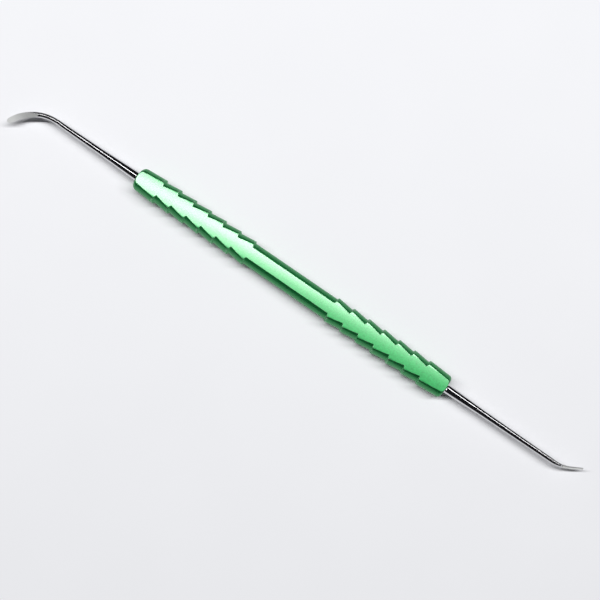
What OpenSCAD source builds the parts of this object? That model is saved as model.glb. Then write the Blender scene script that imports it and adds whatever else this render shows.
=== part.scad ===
// Double-ended dental hand scaler: a turned and milled aluminium handle with a
// one-piece stainless working end bonded into a drilled socket at each end.
// X runs along the handle with the curette at -X and the sickle at +X, +Z is up,
// and the origin is the middle of the flat that the handle rests on.

/* [Handle] */
// Length of the handle
handle_length = 101.2; // [80:0.1:130]
// Diameter over the crests of the grip rings
crest_diameter = 7.5; // [7:0.1:9.5]
// Diameter at the foot of each ring's shoulder
root_diameter = 6.4; // [6.1:0.1:6.9]
// Diameter of the plain middle
middle_diameter = 6.5; // [6.1:0.1:7]
// Thickness across the two milled flats
across_flats = 5.66; // [4.6:0.02:6]

/* [Grip rings] */
// Rings on each half, not counting the end segment
ring_count = 6; // [3:1:7]
// Distance from one shoulder to the next
ring_pitch = 4.95; // [4:0.05:6]
// Distance along the axis that a shoulder leans over
shoulder_lean = 0.38; // [0.1:0.02:0.8]

/* [Handle ends] */
// Length from the last shoulder to the end of the handle
end_segment_length = 7.4; // [5:0.1:9]
// Diameter at the outer end of the end segments
end_diameter = 6.7; // [6.2:0.1:7]
// Radius of the rounded end on the curette side
curette_end_radius = 1.3; // [0.5:0.1:1.5]
// Radius of the rounded end on the sickle side
sickle_end_radius = 0.9; // [0.5:0.1:1.5]

/* [Sockets and bond] */
// Diameter of the tang
tang_diameter = 2.4; // [2:0.1:2.9]
// Length of the tang inside the handle
tang_length = 11; // [8:0.5:14]
// Adhesive thickness around and behind the tang
bond_gap = 0.1; // [0.05:0.01:0.15]
// Grooves that lock the tang in the adhesive
groove_count = 3; // [1:1:4]
// Width of a groove
groove_width = 0.8; // [0.4:0.1:1]
// Depth of a groove
groove_depth = 0.15; // [0.05:0.05:0.3]
// Chamfer at the mouth of a socket
mouth_chamfer = 0.25; // [0.1:0.05:0.3]
// Included angle of the drill point at the bottom of a socket
drill_angle = 118; // [90:1:140]

/* [Shanks] */
// Step from the tang out to the root of the shank
shank_step = 0.15; // [0.05:0.05:0.3]
// Radius of the fillet at the root of the shank
root_fillet = 0.35; // [0.3:0.05:0.6]
// Length of the steep first taper
first_taper_length = 12; // [8:0.5:16]
// Diameter of the shank at the end of the first taper
waist_diameter = 1.95; // [1.7:0.05:2.2]

/* [Curette end] */
// Straight length from the handle to the bend
curette_straight = 27.5; // [22:0.1:33]
// Diameter of the shank where the bend starts
curette_shank_diameter = 1.5; // [1.25:0.05:1.6]
// Radius of the bend, seen from above
curette_bend_radius = 12.5; // [10:0.1:15]
// Angle of the bend, seen from above
curette_bend_angle = 62; // [51:1:75]
// Length of blade past the bend
curette_toe_length = 1.2; // [0.5:0.1:1.5]
// Length over which the round shank becomes the blade
curette_grind_length = 6.5; // [5:0.1:8]
// Length of the blade, back from its toe
curette_blade_length = 10; // [8:0.1:12]
// Width across the ground face of the blade
curette_blade_width = 1.7; // [1.4:0.05:2.1]
// Height of the blade from its ground face to its back
curette_blade_height = 1; // [0.8:0.05:1.2]
// Angle that the ground face leans towards the inside of the bend
curette_face_lean = 36; // [0:1:45]
// Radius of the toe
curette_toe_radius = 0.9; // [0.6:0.05:1.1]

/* [Sickle end] */
// Straight length from the handle to the bend
sickle_straight = 34.1; // [28:0.1:41]
// Diameter of the shank where the bend starts
sickle_shank_diameter = 1.4; // [1.15:0.05:1.6]
// Radius of the bend, seen from above
sickle_bend_radius = 10.6; // [8.6:0.1:12.8]
// Angle of the bend, seen from above
sickle_bend_angle = 30; // [25:1:36]
// Length of blade past the bend
sickle_tip_length = 3.05; // [2.5:0.05:4]
// Length over which the round shank becomes the blade
sickle_grind_length = 5; // [3.5:0.1:7]
// Length of the blade, back from its tip
sickle_blade_length = 9; // [8:0.1:10]
// Thickness of the blade from side to side
sickle_blade_thickness = 0.72; // [0.5:0.02:0.86]
// Height of the blade
sickle_blade_height = 1.5; // [1.2:0.05:1.6]
// Radius of the nose
sickle_nose_radius = 0.5; // [0.3:0.05:0.7]

/* [Hidden] */

$fn = 96;
axis_height = across_flats / 2;
half_length = handle_length / 2;
first_shoulder = half_length - end_segment_length - ring_count * ring_pitch;
socket_diameter = tang_diameter + 2 * bond_gap;
socket_depth = tang_length + bond_gap;
root_radius = tang_diameter / 2 + shank_step;
groove_spacing = tang_length / (groove_count + 1);
// The curved part of a working end starts inside its straight shank, a hair thinner
sweep_overlap = 0.5;
sweep_tuck = 0.995;
sweep_sides = 28;
sweep_rings = 52;
// Power that crowds the rings of a sweep towards the tip
tip_crowding = 1.35;
// Blade sizes left at the very tip, as shares of the full size
toe_width_share = 0.86;
nose_height_share = 0.42;
nose_thickness_share = 0.72;
// Length over which a blade narrows to its tip
toe_taper = 4;
nose_taper = 5;
margin = 1;

// ---- Handle ----

// Radius and distance from the middle at each corner of one half of the handle
function half_outline(end_radius) = [
    for (i = [0 : ring_count])
        let (shoulder = first_shoulder + i * ring_pitch,
             foot = i == 0 ? middle_diameter : root_diameter)
        each [[foot / 2, shoulder - shoulder_lean / 2],
              [crest_diameter / 2, shoulder + shoulder_lean / 2]],
    [end_diameter / 2, half_length - end_radius],
    [end_diameter / 2, half_length],
    [0, half_length]
];

function mirrored(points) = [
    for (i = [len(points) - 1 : -1 : 0]) [points[i].x, -points[i].y]
];

// What a rounded corner takes away from the end of the handle's outline
module corner_waste(end_radius) {
    translate([end_diameter / 2 - end_radius, half_length - end_radius])
        difference() {
            square([end_radius + margin, end_radius + margin]);
            circle(end_radius);
        }
}

module turned_blank() {
    rotate([0, 90, 0])
        rotate_extrude()
            difference() {
                polygon(concat(mirrored(half_outline(curette_end_radius)),
                               half_outline(sickle_end_radius)));
                corner_waste(sickle_end_radius);
                mirror([0, 1]) corner_waste(curette_end_radius);
            }
}

// The drilled hole that takes a tang, with its mouth at the origin, running towards -X
module socket() {
    mouth_diameter = socket_diameter + 2 * mouth_chamfer;
    point_depth = socket_diameter / 2 / tan(drill_angle / 2);
    rotate([0, -90, 0]) {
        cylinder(d = socket_diameter, h = socket_depth);
        cylinder(d1 = mouth_diameter, d2 = socket_diameter, h = mouth_chamfer);
        translate([0, 0, socket_depth])
            cylinder(d1 = socket_diameter, d2 = 0, h = point_depth);
    }
}

// Children drawn pointing out along +X are placed on one end of the handle
module at_sickle_side() {
    translate([half_length, 0, axis_height]) children();
}

module at_curette_side() {
    translate([-half_length, 0, axis_height]) rotate([0, 0, 180]) children();
}

module handle() {
    waste = crest_diameter;
    color("mediumseagreen")
        difference() {
            translate([0, 0, axis_height]) turned_blank();
            translate([-handle_length, -waste, across_flats])
                cube([2 * handle_length, 2 * waste, waste]);
            translate([-handle_length, -waste, -waste])
                cube([2 * handle_length, 2 * waste, waste]);
            at_sickle_side() socket();
            at_curette_side() socket();
        }
}

// ---- Tangs and adhesive ----

module tang() {
    rotate([0, -90, 0])
        difference() {
            cylinder(d = tang_diameter, h = tang_length);
            for (i = [1 : groove_count])
                translate([0, 0, i * groove_spacing - groove_width / 2])
                    difference() {
                        cylinder(d = tang_diameter + margin, h = groove_width);
                        cylinder(d = tang_diameter - 2 * groove_depth, h = groove_width);
                    }
        }
}

module bond() {
    color("lightgoldenrodyellow")
        difference() {
            socket();
            tang();
        }
}

// ---- Shanks ----

// The straight part of a shank, from the handle's end face out along +X
module straight_shank(length, end_diameter) {
    rotate([0, 90, 0])
        rotate_extrude()
            union() {
                polygon([[0, 0], [root_radius, 0], [waist_diameter / 2, first_taper_length],
                         [end_diameter / 2, length], [0, length]]);
                difference() {
                    square([root_radius + root_fillet, root_fillet]);
                    translate([root_radius + root_fillet, root_fillet]) circle(root_fillet);
                }
            }
}

// ---- Curved blades ----

function clamp01(t) = min(1, max(0, t));
function ease(t) = let (c = clamp01(t)) c * c * (3 - 2 * c);
function blend(a, b, t) = a + (b - a) * t;
// Size left of a rounded point, from 1 where the rounding starts to near 0 at its end
function nose(t) = sqrt(max(0.02, 1 - pow(clamp01(t), 2)));

// Where a bend in the XY plane has got to at a distance past its start: [x, y, angle]
function bend_at(distance, radius, angle) =
    let (turned = min(angle, max(0, distance) / radius * 180 / PI),
         past = distance - radius * turned * PI / 180)
    [radius * sin(turned) + past * cos(turned),
     radius * (1 - cos(turned)) + past * sin(turned), turned];

// One ring of the sweep: section points are [towards the inside of the bend, up]
function ring_points(place, section, start) = [
    for (point = section)
        [start + place.x - point.x * sin(place.z),
         place.y + point.x * cos(place.z),
         point.y]
];

function sweep_faces(rings, sides) = concat(
    [[for (j = [0 : sides - 1]) j]],
    [for (i = [0 : rings - 2]) for (j = [0 : sides - 1])
        let (k = (j + 1) % sides)
        each [[i * sides + j, (i + 1) * sides + j, (i + 1) * sides + k],
              [i * sides + j, (i + 1) * sides + k, i * sides + k]]],
    [[for (j = [sides - 1 : -1 : 0]) (rings - 1) * sides + j]]
);

module sweep(rings) {
    sides = len(rings[0]);
    polyhedron(points = [for (ring = rings) each ring], faces = sweep_faces(len(rings), sides));
}

// Distances past the start of the bend, closer together towards the tip
function stations(length) = [
    for (i = [0 : sweep_rings])
        let (t = i / sweep_rings)
        i == 0 ? -sweep_overlap : length * (1 - pow(1 - t, tip_crowding))
];

// Half-round blade with a ground face: full width at its middle and a rounded toe
function curette_section(distance, length) =
    let (shank = curette_shank_diameter / 2 * sweep_tuck,
         ground = ease((distance - length + curette_blade_length) / curette_grind_length),
         point = nose((distance - length + curette_toe_radius) / curette_toe_radius),
         slim = blend(1, toe_width_share, ease((distance - length + toe_taper) / toe_taper)),
         half_width = blend(shank, curette_blade_width / 2 * slim, ground) * point,
         depth = blend(shank, curette_blade_height, ground) * point,
         face = blend(shank, 0, ground),
         lift = blend(0, curette_blade_height / 2, ground))
    [for (j = [0 : sweep_sides - 1])
        let (turn = 360 * j / sweep_sides,
             across = half_width * cos(turn),
             up = min(depth * sin(turn), face) + lift)
        [across * cos(curette_face_lean) + up * sin(curette_face_lean),
         up * cos(curette_face_lean) - across * sin(curette_face_lean)]];

// Thin upright blade that narrows in height to a point
function sickle_section(distance, length) =
    let (shank = sickle_shank_diameter / 2 * sweep_tuck,
         flattened = ease((distance - length + sickle_blade_length) / sickle_grind_length),
         point = nose((distance - length + sickle_nose_radius) / sickle_nose_radius),
         taper = ease((distance - length + nose_taper) / nose_taper),
         thinned = sickle_blade_thickness / 2 * blend(1, nose_thickness_share, taper),
         lowered = sickle_blade_height / 2 * blend(1, nose_height_share, taper),
         half_width = blend(shank, thinned, flattened) * point,
         half_height = blend(shank, lowered, flattened) * point)
    [for (j = [0 : sweep_sides - 1])
        let (turn = 360 * j / sweep_sides)
        [half_width * cos(turn), half_height * sin(turn)]];

module curette_end() {
    length = curette_bend_radius * curette_bend_angle * PI / 180 + curette_toe_length;
    color("silver")
        at_curette_side() {
            tang();
            straight_shank(curette_straight, curette_shank_diameter);
            sweep([for (d = stations(length))
                ring_points(bend_at(d, curette_bend_radius, curette_bend_angle),
                            curette_section(d, length), curette_straight)]);
        }
}

module sickle_end() {
    length = sickle_bend_radius * sickle_bend_angle * PI / 180 + sickle_tip_length;
    color("silver")
        at_sickle_side() {
            tang();
            straight_shank(sickle_straight, sickle_shank_diameter);
            sweep([for (d = stations(length))
                ring_points(bend_at(d, sickle_bend_radius, sickle_bend_angle),
                            sickle_section(d, length), sickle_straight)]);
        }
}

module curette_bond() {
    at_curette_side() bond();
}

module sickle_bond() {
    at_sickle_side() bond();
}

handle();
curette_end();
sickle_end();
curette_bond();
sickle_bond();
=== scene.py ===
import math

import bmesh
import bpy
from mathutils import Matrix, Vector


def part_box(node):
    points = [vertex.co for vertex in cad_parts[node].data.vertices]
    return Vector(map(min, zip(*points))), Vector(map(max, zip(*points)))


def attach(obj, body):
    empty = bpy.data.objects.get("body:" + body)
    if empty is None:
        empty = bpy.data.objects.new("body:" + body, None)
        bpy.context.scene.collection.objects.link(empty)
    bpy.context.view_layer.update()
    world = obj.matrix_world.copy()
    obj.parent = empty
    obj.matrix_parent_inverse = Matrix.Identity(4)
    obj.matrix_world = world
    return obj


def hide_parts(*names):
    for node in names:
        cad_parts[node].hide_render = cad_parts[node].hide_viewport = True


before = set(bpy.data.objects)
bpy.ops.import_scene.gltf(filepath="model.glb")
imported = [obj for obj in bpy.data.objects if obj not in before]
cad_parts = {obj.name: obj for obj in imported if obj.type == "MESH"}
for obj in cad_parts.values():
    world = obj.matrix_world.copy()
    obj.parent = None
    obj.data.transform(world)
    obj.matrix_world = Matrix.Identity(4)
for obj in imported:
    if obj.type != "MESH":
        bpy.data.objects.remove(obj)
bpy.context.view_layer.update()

# ---- The handle ----
# One bar of aluminium, turned with two rows of sawtooth grip rings that face away from
# the middle, drilled at both ends, and milled flat on the top and the bottom. Its edges
# are tumbled smooth before it is blasted and dyed green in the anodising bath.
MM = 0.001
handle_low, handle_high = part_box("handle")
axis_height = (handle_low.z + handle_high.z) / 2
half_length = (handle_high.x - handle_low.x) / 2
flat_height = (handle_high.z - handle_low.z) / 2
crest_radius = (handle_high.y - handle_low.y) / 2
root_radius = 3.2 * MM
middle_radius = 3.25 * MM
end_radius = 3.35 * MM
ring_count = 6
ring_pitch = 4.95 * MM
shoulder_lean = 0.38 * MM
end_segment_length = 7.4 * MM
end_rounding = {"curette": 1.3 * MM, "sickle": 0.9 * MM}
end_land = 0.02 * MM
crest_rounding = 0.07 * MM
root_rounding = 0.1 * MM
socket_radius = 1.3 * MM
socket_depth = 11.1 * MM
socket_point = 0.78 * MM
mouth_chamfer = 0.25 * MM
mouth_rounding = 0.03 * MM
flat_edge_break = 0.055 * MM
flat_skin = 0.002 * MM
flat_strip_width = 0.4 * MM
flat_strips_each_side = 6
level_enough, high_enough = 0.9999, 0.99
flat_crown_radius = 45 * MM
crown_base = 2.5 * MM
crown_fade = 0.25 * MM
# crests within this depth are painted pale: worn anodising and a painted highlight
crest_wear_and_highlight_depth = 0.03 * MM
turned_sides = 160
flat_columns = 14
core_radius = 2.9 * MM  # inside it no point slides round
root_slack = 0.005 * MM
longest_handle_edge = 1.5 * MM
long_edge_cuts = 6
large_rounding = 0.5 * MM
small_arc_steps, large_arc_steps = 4, 14
merge_distance = 0.0005 * MM
cut_tolerance = 0.0002 * MM
tool_line_pitch = 0.09 * MM
tool_line_depth = 0.12
flat_finish_end, turned_finish_start = 0.09 * MM, 0.12 * MM  # below the flat


def rounded_line(corners):
    """Corners (distance along X, radius, rounding) as points, each corner a small arc."""
    line = []
    for before, here, after in zip(corners, corners[1:], corners[2:]):
        corner, rounding = Vector(here[:2]), here[2]
        if not rounding:
            line.append(corner)
            continue
        back = (Vector(before[:2]) - corner).normalized()
        on = (Vector(after[:2]) - corner).normalized()
        half_angle = back.angle(on) / 2
        centre = corner + (back + on).normalized() * rounding / math.sin(half_angle)
        spoke = corner + back * rounding / math.tan(half_angle) - centre
        turn = (math.pi - 2 * half_angle) * (-1 if back.cross(on) > 0 else 1)
        steps = small_arc_steps if rounding < large_rounding else large_arc_steps
        for step in range(steps + 1):
            arm = spoke.copy()
            arm.rotate(Matrix.Rotation(turn * step / steps, 2))
            line.append(centre + arm)
    return [Vector(corners[0][:2]), *line, Vector(corners[-1][:2])]


def turned_shape(corners, sides, longest_edge):
    """A solid turned about the X axis from the corners of its outline."""
    shape = bmesh.new()
    points = [shape.verts.new((p.x, 0, p.y)) for p in rounded_line(corners)]
    for start, end in zip(points, points[1:]):
        shape.edges.new((start, end))
    long_edges = [edge for edge in shape.edges if edge.calc_length() > longest_edge]
    bmesh.ops.subdivide_edges(shape, edges=long_edges, cuts=long_edge_cuts)
    bmesh.ops.spin(shape, geom=shape.verts[:] + shape.edges[:], cent=(0, 0, 0),
                   axis=(1, 0, 0), angle=math.tau, steps=sides, use_merge=True)
    bmesh.ops.remove_doubles(shape, verts=shape.verts, dist=merge_distance)
    return shape


def half_handle(side):
    """Outline corners of one half of the handle, from the plain middle to the socket."""
    first_shoulder = half_length - end_segment_length - ring_count * ring_pitch
    corners = []
    for ring in range(ring_count + 1):
        shoulder = first_shoulder + ring * ring_pitch
        foot = root_radius if ring else middle_radius
        corners += [(shoulder - shoulder_lean / 2, foot, root_rounding),
                    (shoulder + shoulder_lean / 2, crest_radius, crest_rounding)]
    return corners + [
        (half_length - end_rounding[side] - end_land, end_radius, 0),
        (half_length, end_radius, end_rounding[side]),
        (half_length, socket_radius + mouth_chamfer, mouth_rounding),
        (half_length - mouth_chamfer, socket_radius, mouth_rounding),
        (half_length - socket_depth, socket_radius, 0),
        (half_length - socket_depth - socket_point, 0, 0)]


def line_up_with_flats(shape):
    """Slides the points of each ring round it, so that one row lies on each flat's edge."""
    row_angle = flat_columns * math.tau / turned_sides
    quarter = math.pi / 2
    for vert in shape.verts:
        radius = math.hypot(vert.co.y, vert.co.z)
        fade = (radius - core_radius) / (root_radius - core_radius - root_slack)
        if fade <= 0:
            continue
        edge_angle = math.acos(flat_height / radius)
        angle = math.atan2(abs(vert.co.y), abs(vert.co.z))
        if angle <= row_angle:
            moved = angle * edge_angle / row_angle
        else:
            moved = quarter - (quarter - angle) * (quarter - edge_angle) / (quarter - row_angle)
        moved = angle + (moved - angle) * min(1, fade)
        vert.co.y = math.copysign(radius * math.sin(moved), vert.co.y)
        vert.co.z = math.copysign(radius * math.cos(moved), vert.co.z)


def on_flat(face, side):
    level = face.normal.z * side > level_enough
    return level and face.calc_center_median().z * side > flat_height * high_enough


def mill_flat(shape, side, edge_layer):
    """Cuts one flat, breaks its edges and cuts it into strips, for a crown of a few hundredths.
    """
    cut = bmesh.ops.bisect_plane(shape, geom=shape.verts[:] + shape.edges[:] + shape.faces[:],
                                 dist=cut_tolerance, plane_co=(0, 0, side * flat_height),
                                 plane_no=(0, 0, side), clear_outer=True)
    rim = [item for item in cut["geom_cut"] if isinstance(item, bmesh.types.BMEdge)]
    bmesh.ops.holes_fill(shape, edges=rim)
    shape.normal_update()
    rim = [edge for edge in rim if edge.is_valid and len(edge.link_faces) == 2]
    broken = bmesh.ops.bevel(shape, geom=rim, offset=flat_edge_break, offset_type="OFFSET",
                             affect="EDGES", segments=3, profile=0.5, material=-1,
                             clamp_overlap=False)
    # The broken edges take the pale edge colour: worn anodising and a painted highlight.
    for face in broken["faces"]:
        for vert in face.verts:
            if vert.co.z * side < flat_height - flat_skin:
                vert[edge_layer] = 1.0
    bmesh.ops.recalc_face_normals(shape, faces=shape.faces)
    for strip in range(-flat_strips_each_side, flat_strips_each_side + 1):
        flat = [face for face in shape.faces if on_flat(face, side)]
        parts = {part for face in flat for part in (*face.verts, *face.edges)}
        bmesh.ops.bisect_plane(shape, geom=flat + list(parts), dist=cut_tolerance,
                               plane_co=(0, strip * flat_strip_width, 0), plane_no=(0, 1, 0))
        shape.normal_update()


def crown_flats(shape):
    """Lowers the flats towards their edges, and leaves the turned sides as they are."""
    for vert in shape.verts:
        reach = (abs(vert.co.z) - crown_base) / crown_fade
        drop = vert.co.y ** 2 / (2 * flat_crown_radius) * min(1, max(0, reach))
        vert.co.z -= math.copysign(drop, vert.co.z)


def make_piece(name, shape, materials):
    """A finished piece: closed, faces outwards, smooth, at the origin."""
    bmesh.ops.recalc_face_normals(shape, faces=shape.faces)
    for face in shape.faces:
        face.smooth = True
    mesh = bpy.data.meshes.new(name)
    shape.to_mesh(mesh)
    shape.free()
    for material in materials:
        mesh.materials.append(material)
    piece = bpy.data.objects.new(name, mesh)
    bpy.context.scene.collection.objects.link(piece)
    return piece


def add_node(tree, kind, values=None, **settings):
    """A node with its settings, and its inputs either set or linked."""
    made = tree.nodes.new(kind)
    for setting, value in settings.items():
        setattr(made, setting, value)
    for socket, value in (values or {}).items():
        if isinstance(value, bpy.types.NodeSocket):
            tree.links.new(value, made.inputs[socket])
        else:
            made.inputs[socket].default_value = value
    return made


def new_group(name, inputs, outputs):
    """A shader node group with float inputs (Position is a vector) and float outputs."""
    group = bpy.data.node_groups.new(name, "ShaderNodeTree")
    for socket in inputs:
        kind = "NodeSocketVector" if socket == "Position" else "NodeSocketFloat"
        group.interface.new_socket(socket, in_out="INPUT", socket_type=kind)
    for socket in outputs:
        group.interface.new_socket(socket, in_out="OUTPUT", socket_type="NodeSocketFloat")
    return group, group.nodes.new("NodeGroupInput"), group.nodes.new("NodeGroupOutput")


def fine_grain_group():
    """Surface grain: a fine pitted height, and a softer mottle four grains wide."""
    group, given, result = new_group("fine_grain", ("Position", "Grain Scale"),
                                     ("Height", "Mottle"))
    grain = add_node(group, "ShaderNodeTexNoise", {
        "Vector": given.outputs["Position"], "Scale": given.outputs["Grain Scale"],
        "Detail": 4.0, "Roughness": 0.65})
    wide = add_node(group, "ShaderNodeMath", {0: given.outputs["Grain Scale"], 1: 0.25},
                    operation="MULTIPLY")
    mottle = add_node(group, "ShaderNodeTexNoise", {
        "Vector": given.outputs["Position"], "Scale": wide.outputs[0], "Detail": 3.0})
    group.links.new(grain.outputs["Fac"], result.inputs["Height"])
    group.links.new(mottle.outputs["Fac"], result.inputs["Mottle"])
    return group


def edge_wear_and_highlight_group():
    """Wear and a painted edge highlight that come and go along an edge, from the piece's own
    edge attribute.
    """
    group, given, result = new_group("edge_wear_and_highlight", ("Position", "Edge", "Patch Scale", "Amount"),
                                     ("Worn And Highlit",))
    # Patchy pale edges: partly worn anodising, partly a painted highlight on the edge breaks.
    patches = add_node(group, "ShaderNodeTexNoise", {
        "Vector": given.outputs["Position"], "Scale": given.outputs["Patch Scale"],
        "Detail": 5.0})
    patchy = add_node(group, "ShaderNodeMapRange", {
        "Value": patches.outputs["Fac"], "From Min": 0.4, "From Max": 0.62})
    along = add_node(group, "ShaderNodeMath", {0: patchy.outputs[0], 1: given.outputs["Edge"]},
                     operation="MULTIPLY")
    worn_and_highlit = add_node(group, "ShaderNodeMath", {0: along.outputs[0], 1: given.outputs["Amount"]},
                    operation="MULTIPLY")
    group.links.new(worn_and_highlit.outputs[0], result.inputs["Worn And Highlit"])
    return group


fine_grain = fine_grain_group()
edge_wear_and_highlight = edge_wear_and_highlight_group()


def new_material(name, **constants):
    """A material with one Principled shader, whose plain numbers are set on it."""
    material = bpy.data.materials.new(name)
    material.use_nodes = True
    shader = material.node_tree.nodes["Principled BSDF"]
    for socket, value in constants.items():
        shader.inputs[socket.replace("_", " ")].default_value = value
    where = material.node_tree.nodes.new("ShaderNodeTexCoord").outputs["Object"]
    return material, material.node_tree, shader, where


def place_group(tree, group, values):
    placed = add_node(tree, "ShaderNodeGroup", node_tree=group)
    for socket, value in values.items():
        if isinstance(value, bpy.types.NodeSocket):
            tree.links.new(value, placed.inputs[socket])
        else:
            placed.inputs[socket].default_value = value
    return placed


def anodised_green():
    """Satin aluminium under a dyed, sealed oxide, with tool lines on what was turned."""
    material, tree, shader, where = new_material(
        "anodised_green", Metallic=1.0, Coat_IOR=1.82, Coat_Roughness=0.25)
    grain = place_group(tree, fine_grain, {"Position": where, "Grain Scale": 9000.0})
    edge = add_node(tree, "ShaderNodeAttribute", attribute_name="edge")
    # Edges painted pale green-silver: partly worn anodising, partly a painted highlight on the
    # edge breaks.
    wear_and_highlight = place_group(tree, edge_wear_and_highlight, {
        "Position": where, "Edge": edge.outputs["Fac"], "Patch Scale": 900.0, "Amount": 0.55})
    green = add_node(tree, "ShaderNodeMix", {
        "Factor": grain.outputs["Mottle"], "A": (0.007, 0.15, 0.035, 1),
        "B": (0.024, 0.43, 0.11, 1)}, data_type="RGBA")
    colour = add_node(tree, "ShaderNodeMix", {
        "Factor": wear_and_highlight.outputs["Worn And Highlit"], "A": green.outputs["Result"],
        "B": (0.42, 0.66, 0.47, 1)}, data_type="RGBA")
    tree.links.new(colour.outputs["Result"], shader.inputs["Base Color"])
    satin = add_node(tree, "ShaderNodeMapRange", {
        "Value": grain.outputs["Mottle"], "From Min": 0.3, "From Max": 0.7,
        "To Min": 0.49, "To Max": 0.52})
    tree.links.new(satin.outputs[0], shader.inputs["Roughness"])
    place = add_node(tree, "ShaderNodeSeparateXYZ", {0: where})
    above = add_node(tree, "ShaderNodeMath", {0: place.outputs["Z"], 1: axis_height},
                     operation="SUBTRACT")
    lift = add_node(tree, "ShaderNodeMath", {0: above.outputs[0]}, operation="ABSOLUTE")
    turned = add_node(tree, "ShaderNodeMapRange", {
        "Value": lift.outputs[0], "From Min": flat_height - turned_finish_start,
        "From Max": flat_height - flat_finish_end, "To Min": 1.0, "To Max": 0.0})
    gloss = add_node(tree, "ShaderNodeMapRange", {
        "Value": turned.outputs[0], "To Min": 1.0, "To Max": 0.3})
    tree.links.new(gloss.outputs[0], shader.inputs["Coat Weight"])
    feed = add_node(tree, "ShaderNodeMath", {
        0: place.outputs["X"], 1: math.tau / tool_line_pitch}, operation="MULTIPLY")
    ridge = add_node(tree, "ShaderNodeMath", {0: feed.outputs[0]}, operation="SINE")
    lines = add_node(tree, "ShaderNodeMath", {0: ridge.outputs[0], 1: turned.outputs[0]},
                     operation="MULTIPLY")
    height = add_node(tree, "ShaderNodeMath", {
        0: lines.outputs[0], 1: tool_line_depth, 2: grain.outputs["Height"]},
        operation="MULTIPLY_ADD")
    bump = add_node(tree, "ShaderNodeBump", {
        "Strength": 0.3, "Distance": 0.02 * MM, "Height": height.outputs[0]})
    tree.links.new(bump.outputs[0], shader.inputs["Normal"])
    return material


handle_outline = [(-x, r, rounding) for x, r, rounding in reversed(half_handle("curette"))]
handle_shape = turned_shape(handle_outline + half_handle("sickle"), turned_sides,
                            longest_handle_edge)
handle_edges = handle_shape.verts.layers.float.new("edge")
line_up_with_flats(handle_shape)
for side in (1, -1):
    mill_flat(handle_shape, side, handle_edges)
# The crests take the pale edge colour too: worn anodising and a painted highlight.
for vert in handle_shape.verts:
    if math.hypot(vert.co.y, vert.co.z) > crest_radius - crest_wear_and_highlight_depth:
        vert[handle_edges] = 1.0
crown_flats(handle_shape)
bmesh.ops.translate(handle_shape, verts=handle_shape.verts, vec=(0, 0, axis_height))
handle = make_piece("grip_handle", handle_shape, [anodised_green()])
weighted = handle.modifiers.new("weighted_normals", "WEIGHTED_NORMAL")
weighted.keep_sharp = True
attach(handle, "root")
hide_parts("handle")

# ---- The curette end ----
# A forged and polished stainless working end. Its grooved tang is bonded in the handle,
# the shank tapers and bends to one side, and its half-round blade has a flat face that is
# ground with a stone and leans to the inside of the bend.
tang_radius = 1.2 * MM
tang_length = 11 * MM
groove_count = 3
groove_width = 0.8 * MM
groove_depth = 0.15 * MM
shank_root_radius = 1.35 * MM
root_fillet = 0.35 * MM
root_fillet_rounding = 0.3 * MM
root_knee, root_knee_height, root_knee_rounding = 0.06 * MM, 0.16 * MM, 0.12 * MM
first_taper_length = 12 * MM
waist_radius = 0.975 * MM
waist_rounding = 6 * MM
tang_end_rounding = 0.1 * MM
shank_sides = 72
longest_shank_edge = 3 * MM
crowding_towards_tip = 1.5
bluntest_share = 0.0004
curette_straight = 27.5 * MM
curette_shank_radius = 0.75 * MM
curette_bend_radius = 12.5 * MM
curette_bend_angle = math.radians(62)
curette_toe_length = 1.19 * MM
curette_grind_length = 6.5 * MM
curette_blade_length = 10 * MM
curette_half_width = 0.85 * MM
curette_blade_height = 1 * MM
curette_face_lean = math.radians(36)
curette_toe_radius = 0.9 * MM
curette_face_length = 9.2 * MM
curette_toe_taper, curette_toe_width = 4 * MM, 0.86
curette_rings = 130
crisp_edge_angle = math.radians(32)
face_match = 0.985
curette_length = curette_bend_radius * curette_bend_angle + curette_toe_length


def ease(t):
    t = min(1, max(0, t))
    return t * t * (3 - 2 * t)


def blend(a, b, t):
    return a + (b - a) * t


def nose(t):
    """What a rounded point leaves of the section, from 1 down to nearly nothing."""
    return math.sqrt(max(bluntest_share, 1 - min(1, max(0, t)) ** 2))


def shank_outline(straight, shank_radius):
    """Outline corners from the bottom of the tang to the start of the bend."""
    corners = [(-tang_length, 0, 0), (-tang_length, tang_radius, tang_end_rounding)]
    spacing = tang_length / (groove_count + 1)
    for groove in range(groove_count, 0, -1):
        start = -groove * spacing - groove_width / 2
        for distance, depth in ((0, 0), (0, groove_depth), (groove_width, groove_depth),
                                (groove_width, 0)):
            corners.append((start + distance, tang_radius - depth, 0))
    return corners + [
        (0, tang_radius, 0), (0, shank_root_radius + root_fillet, 0),
        (root_knee, shank_root_radius + root_knee_height, root_knee_rounding),
        (root_fillet, shank_root_radius, root_fillet_rounding),
        (first_taper_length, waist_radius, waist_rounding), (straight, shank_radius, 0)]


def bend_place(distance, radius, angle):
    """How far a bend has come along and across at a distance past its start, and its turn."""
    turned = min(angle, max(0, distance) / radius)
    past = distance - radius * turned
    return (radius * math.sin(turned) + past * math.cos(turned),
            radius * (1 - math.cos(turned)) + past * math.sin(turned), turned)


def draw_out_blade(shape, straight, length, bend, section, ring_total):
    """Extrudes the open end of a shank ring by ring round its bend to the blade's tip."""
    rim = [edge for edge in shape.edges if edge.is_boundary]
    column = shape.verts.layers.float.new("column")
    for vert in {vert for edge in rim for vert in edge.verts}:
        vert[column] = math.atan2(vert.co.z, vert.co.y)
    for ring in range(1, ring_total + 1):
        distance = length * (1 - (1 - ring / ring_total) ** crowding_towards_tip)
        along, across, turned = bend_place(distance, *bend)
        drawn = bmesh.ops.extrude_edge_only(shape, edges=rim)["geom"]
        rim = [item for item in drawn
               if isinstance(item, bmesh.types.BMEdge) and item.is_boundary]
        for vert in (item for item in drawn if isinstance(item, bmesh.types.BMVert)):
            inward, up = section(vert[column], distance)
            vert.co = (straight + along - inward * math.sin(turned),
                       across + inward * math.cos(turned), up)
    bmesh.ops.contextual_create(shape, geom=rim)
    shape.verts.layers.float.remove(column)


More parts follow.
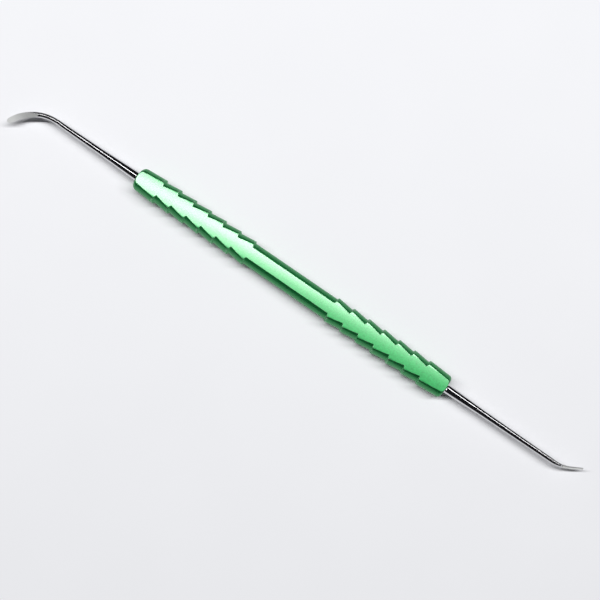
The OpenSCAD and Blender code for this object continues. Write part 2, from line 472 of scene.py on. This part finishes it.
def curette_section(turn, distance):
    """A point of the half-round section: towards the inside of the bend, and up."""
    to_toe = distance - curette_length
    ground = ease((to_toe + curette_blade_length) / curette_grind_length)
    point = nose((to_toe + curette_toe_radius) / curette_toe_radius)
    slim = blend(1, curette_toe_width, ease((to_toe + curette_toe_taper) / curette_toe_taper))
    half_width = blend(curette_shank_radius, curette_half_width * slim, ground) * point
    depth = blend(curette_shank_radius, curette_blade_height, ground) * point
    face = blend(curette_shank_radius, 0, ground)
    lift = blend(0, curette_blade_height / 2, ground)
    across = half_width * math.cos(turn)
    up = min(depth * math.sin(turn), face) + lift
    return (across * math.cos(curette_face_lean) + up * math.sin(curette_face_lean),
            up * math.cos(curette_face_lean) - across * math.sin(curette_face_lean))


def keep_edges_crisp(shape, angle):
    for edge in shape.edges:
        if len(edge.link_faces) == 2 and edge.calc_face_angle() > angle:
            edge.smooth = False


def polished_steel():
    """Mirror-polished stainless steel, with the faint lines and haze of the mop."""
    material, tree, shader, where = new_material("polished_steel", Metallic=1.0)
    grain = place_group(tree, fine_grain, {"Position": where, "Grain Scale": 7000.0})
    tone = add_node(tree, "ShaderNodeMix", {
        "Factor": grain.outputs["Mottle"], "A": (0.66, 0.66, 0.67, 1),
        "B": (0.74, 0.74, 0.75, 1)}, data_type="RGBA")
    tree.links.new(tone.outputs["Result"], shader.inputs["Base Color"])
    haze = add_node(tree, "ShaderNodeMapRange", {
        "Value": grain.outputs["Mottle"], "From Min": 0.3, "From Max": 0.7,
        "To Min": 0.05, "To Max": 0.08})
    tree.links.new(haze.outputs[0], shader.inputs["Roughness"])
    drawn_out = add_node(tree, "ShaderNodeMapping", {"Vector": where, "Scale": (0.12, 1, 1)})
    mop = add_node(tree, "ShaderNodeTexNoise", {
        "Vector": drawn_out.outputs[0], "Scale": 14000.0, "Detail": 2.0})
    bump = add_node(tree, "ShaderNodeBump", {
        "Strength": 0.03, "Distance": 0.01 * MM, "Height": mop.outputs["Fac"]})
    tree.links.new(bump.outputs[0], shader.inputs["Normal"])
    return material


def stone_ground_steel():
    """Stainless steel as a fine stone leaves it: satin, with short cross lines."""
    material, tree, shader, where = new_material("stone_ground_steel", Metallic=0.3)
    grain = place_group(tree, fine_grain, {"Position": where, "Grain Scale": 9000.0})
    tone = add_node(tree, "ShaderNodeMix", {
        "Factor": grain.outputs["Mottle"], "A": (0.62, 0.63, 0.62, 1),
        "B": (0.74, 0.75, 0.74, 1)}, data_type="RGBA")
    tree.links.new(tone.outputs["Result"], shader.inputs["Base Color"])
    satin = add_node(tree, "ShaderNodeMapRange", {
        "Value": grain.outputs["Mottle"], "From Min": 0.3, "From Max": 0.7,
        "To Min": 0.46, "To Max": 0.54})
    tree.links.new(satin.outputs[0], shader.inputs["Roughness"])
    crosswise = add_node(tree, "ShaderNodeMapping", {"Vector": where, "Scale": (1, 0.1, 0.3)})
    stone = add_node(tree, "ShaderNodeTexNoise", {
        "Vector": crosswise.outputs[0], "Scale": 22000.0, "Detail": 2.0})
    bump = add_node(tree, "ShaderNodeBump", {
        "Strength": 0.35, "Distance": 0.01 * MM, "Height": stone.outputs["Fac"]})
    tree.links.new(bump.outputs[0], shader.inputs["Normal"])
    return material


steel = polished_steel()
ground_steel = stone_ground_steel()

curette_shape = turned_shape(shank_outline(curette_straight, curette_shank_radius),
                             shank_sides, longest_shank_edge)
draw_out_blade(curette_shape, curette_straight, curette_length,
               (curette_bend_radius, curette_bend_angle), curette_section, curette_rings)
bmesh.ops.recalc_face_normals(curette_shape, faces=curette_shape.faces)
keep_edges_crisp(curette_shape, crisp_edge_angle)
face_direction = Vector((0, math.sin(curette_face_lean), math.cos(curette_face_lean)))
# The ground face is what looks the same way as the blade's flat, along its last stretch.
for face in curette_shape.faces:
    to_bend = face.calc_center_median().x - curette_straight
    turned = min(curette_bend_angle, math.asin(min(1, max(0, to_bend) / curette_bend_radius)))
    if turned * curette_bend_radius < curette_length - curette_face_length:
        continue
    facing = face_direction.copy()
    facing.rotate(Matrix.Rotation(turned, 3, "Z"))
    if face.normal.dot(facing) > face_match:
        face.material_index = 1
bmesh.ops.rotate(curette_shape, verts=curette_shape.verts, cent=(0, 0, 0),
                 matrix=Matrix.Rotation(math.pi, 3, "Z"))
bmesh.ops.translate(curette_shape, verts=curette_shape.verts,
                    vec=(-half_length, 0, axis_height))
curette = make_piece("curette_working_end", curette_shape, [steel, ground_steel])
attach(curette, "root")
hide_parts("curette_end")

# ---- The sickle end ----
# The same forging at the other end of the handle, bent the other way. Its blade is thin
# and stands upright, and it narrows to a fine nose that is stone-ground like the curette.
sickle_straight = 34.1 * MM
sickle_shank_radius = 0.7 * MM
sickle_bend_radius = 10.6 * MM
sickle_bend_angle = math.radians(30)
sickle_tip_length = 3.04 * MM
sickle_grind_length = 5 * MM
sickle_blade_length = 9 * MM
sickle_half_thickness = 0.36 * MM
sickle_half_height = 0.75 * MM
sickle_nose_radius = 0.5 * MM
sickle_ground_length = 5.7 * MM
sickle_taper, sickle_tip_thickness, sickle_tip_height = 5 * MM, 0.72, 0.42
sickle_rings = 120
sickle_length = sickle_bend_radius * sickle_bend_angle + sickle_tip_length


def sickle_section(turn, distance):
    """A point of the thin upright section: towards the inside of the bend, and up."""
    to_tip = distance - sickle_length
    flattened = ease((to_tip + sickle_blade_length) / sickle_grind_length)
    point = nose((to_tip + sickle_nose_radius) / sickle_nose_radius)
    taper = ease((to_tip + sickle_taper) / sickle_taper)
    thin = sickle_half_thickness * blend(1, sickle_tip_thickness, taper)
    tall = sickle_half_height * blend(1, sickle_tip_height, taper)
    half_width = blend(sickle_shank_radius, thin, flattened)
    half_height = blend(sickle_shank_radius, tall, flattened)
    return half_width * point * math.cos(turn), half_height * point * math.sin(turn)


sickle_shape = turned_shape(shank_outline(sickle_straight, sickle_shank_radius),
                            shank_sides, longest_shank_edge)
draw_out_blade(sickle_shape, sickle_straight, sickle_length,
               (sickle_bend_radius, sickle_bend_angle), sickle_section, sickle_rings)
bmesh.ops.recalc_face_normals(sickle_shape, faces=sickle_shape.faces)
sickle_tip = max((vert.co for vert in sickle_shape.verts), key=lambda place: place.x).copy()
for face in sickle_shape.faces:
    to_tip = (face.calc_center_median() - sickle_tip).length
    if to_tip < sickle_ground_length:
        face.material_index = 1
bmesh.ops.translate(sickle_shape, verts=sickle_shape.verts, vec=(half_length, 0, axis_height))
sickle = make_piece("sickle_working_end", sickle_shape, [steel, ground_steel])
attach(sickle, "root")
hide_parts("sickle_end")

# ---- The adhesive ----
# Amber epoxy that fills each socket round its tang and sets hard in the tang's grooves.
# It is out of sight inside the handle, in the solids that the frame already holds.


def amber_epoxy():
    """Cured epoxy: amber, glossy and slightly cloudy."""
    material, tree, shader, where = new_material("amber_epoxy", Metallic=0.0, IOR=1.56)
    cloud = place_group(tree, fine_grain, {"Position": where, "Grain Scale": 6000.0})
    amber = add_node(tree, "ShaderNodeMix", {
        "Factor": cloud.outputs["Mottle"], "A": (0.5, 0.3, 0.09, 1),
        "B": (0.66, 0.44, 0.18, 1)}, data_type="RGBA")
    tree.links.new(amber.outputs["Result"], shader.inputs["Base Color"])
    gloss = add_node(tree, "ShaderNodeMapRange", {
        "Value": cloud.outputs["Height"], "To Min": 0.15, "To Max": 0.35})
    tree.links.new(gloss.outputs[0], shader.inputs["Roughness"])
    return material


epoxy = amber_epoxy()
for bond in ("curette_bond", "sickle_bond"):
    for material_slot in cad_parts[bond].material_slots:
        material_slot.material = epoxy

# ---- The table, the light and the camera ----
# A pale matt table under a long narrow strip light that hangs level over it and slantwise
# to the handle. The steel has a dimmer strip of its own and a broad panel at its end, and
# the rest of the room is dark to the metal and pale only past the table's edge.
table_half_width = 0.35
table_shape = bmesh.new()
bmesh.ops.create_grid(table_shape, x_segments=1, y_segments=1, size=table_half_width)
table = make_piece("table_top", table_shape, [])


def pale_table():
    material, tree, shader, where = new_material("pale_table", Roughness=0.7)
    shader.inputs["Specular IOR Level"].default_value = 0.2
    tint = add_node(tree, "ShaderNodeTexNoise", {"Vector": where, "Scale": 30.0})
    pale = add_node(tree, "ShaderNodeMix", {
        "Factor": tint.outputs["Fac"], "A": (0.79, 0.795, 0.82, 1),
        "B": (0.815, 0.82, 0.845, 1)}, data_type="RGBA")
    tree.links.new(pale.outputs["Result"], shader.inputs["Base Color"])
    return material


table.data.materials.append(pale_table())

light_height = 0.9


def hang_light(name, middle, turn, width, length, brightness, lit):
    """A level soft light high over the table, that lights only the pieces named."""
    panel = bpy.data.lights.new(name, "AREA")
    panel.shape = "RECTANGLE"
    panel.size, panel.size_y = length, width
    panel.energy = brightness * math.pi * length * width
    lamp = bpy.data.objects.new(name, panel)
    lamp.location = (middle[0], middle[1], light_height)
    lamp.rotation_euler.z = math.radians(turn)
    bpy.context.scene.collection.objects.link(lamp)
    lamp.light_linking.receiver_collection = bpy.data.collections.new(name + "_lights")
    for piece in lit:
        lamp.light_linking.receiver_collection.objects.link(piece)


bonds = [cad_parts[bond] for bond in ("curette_bond", "sickle_bond")]
hang_light("long_strip", middle=(-0.12, 0.17), turn=33.0, width=0.08, length=2.1,
           brightness=30.5, lit=[table, handle, *bonds])
hang_light("steel_strip", middle=(-0.065, 0.2035), turn=27.6, width=0.1, length=1.8,
           brightness=5.2, lit=[curette, sickle])
hang_light("blade_panel", middle=(1.2, -0.56), turn=0.0, width=1.0, length=1.0,
           brightness=6.5, lit=[curette, sickle])

world = bpy.data.worlds.new("dark_room")
bpy.context.scene.world = world
world.use_nodes = True
room = world.node_tree
ray = room.nodes.new("ShaderNodeLightPath")
shade = add_node(room, "ShaderNodeMix", {
    "Factor": ray.outputs["Is Camera Ray"], "A": (0.012, 0.012, 0.014, 1),
    "B": (0.82, 0.835, 0.86, 1)}, data_type="RGBA")
room.links.new(shade.outputs["Result"], room.nodes["Background"].inputs["Color"])

camera_target = Vector((5.086, -2.681, 2.83)) * MM
camera_distance = 271.17 * MM
camera_tilt = math.radians(5.82)
camera_bearing = math.radians(-51.18)
camera_roll = math.radians(-34.61)
back = Vector((math.sin(camera_tilt) * math.cos(camera_bearing),
               math.sin(camera_tilt) * math.sin(camera_bearing), math.cos(camera_tilt)))
right = Vector((math.sin(camera_roll), math.cos(camera_roll), 0)).cross(back).normalized()
camera = bpy.data.cameras.new("camera")
camera.lens, camera.sensor_width = 60.125, 36
camera.clip_start, camera.clip_end = 0.01, 10
viewer = bpy.data.objects.new("camera", camera)
viewer.matrix_world = Matrix.Translation(camera_target + back * camera_distance) @ Matrix(
    (right, back.cross(right), back)).transposed().to_4x4()
bpy.context.scene.collection.objects.link(viewer)
bpy.context.scene.camera = viewer
bpy.context.scene.view_settings.view_transform = "Standard"
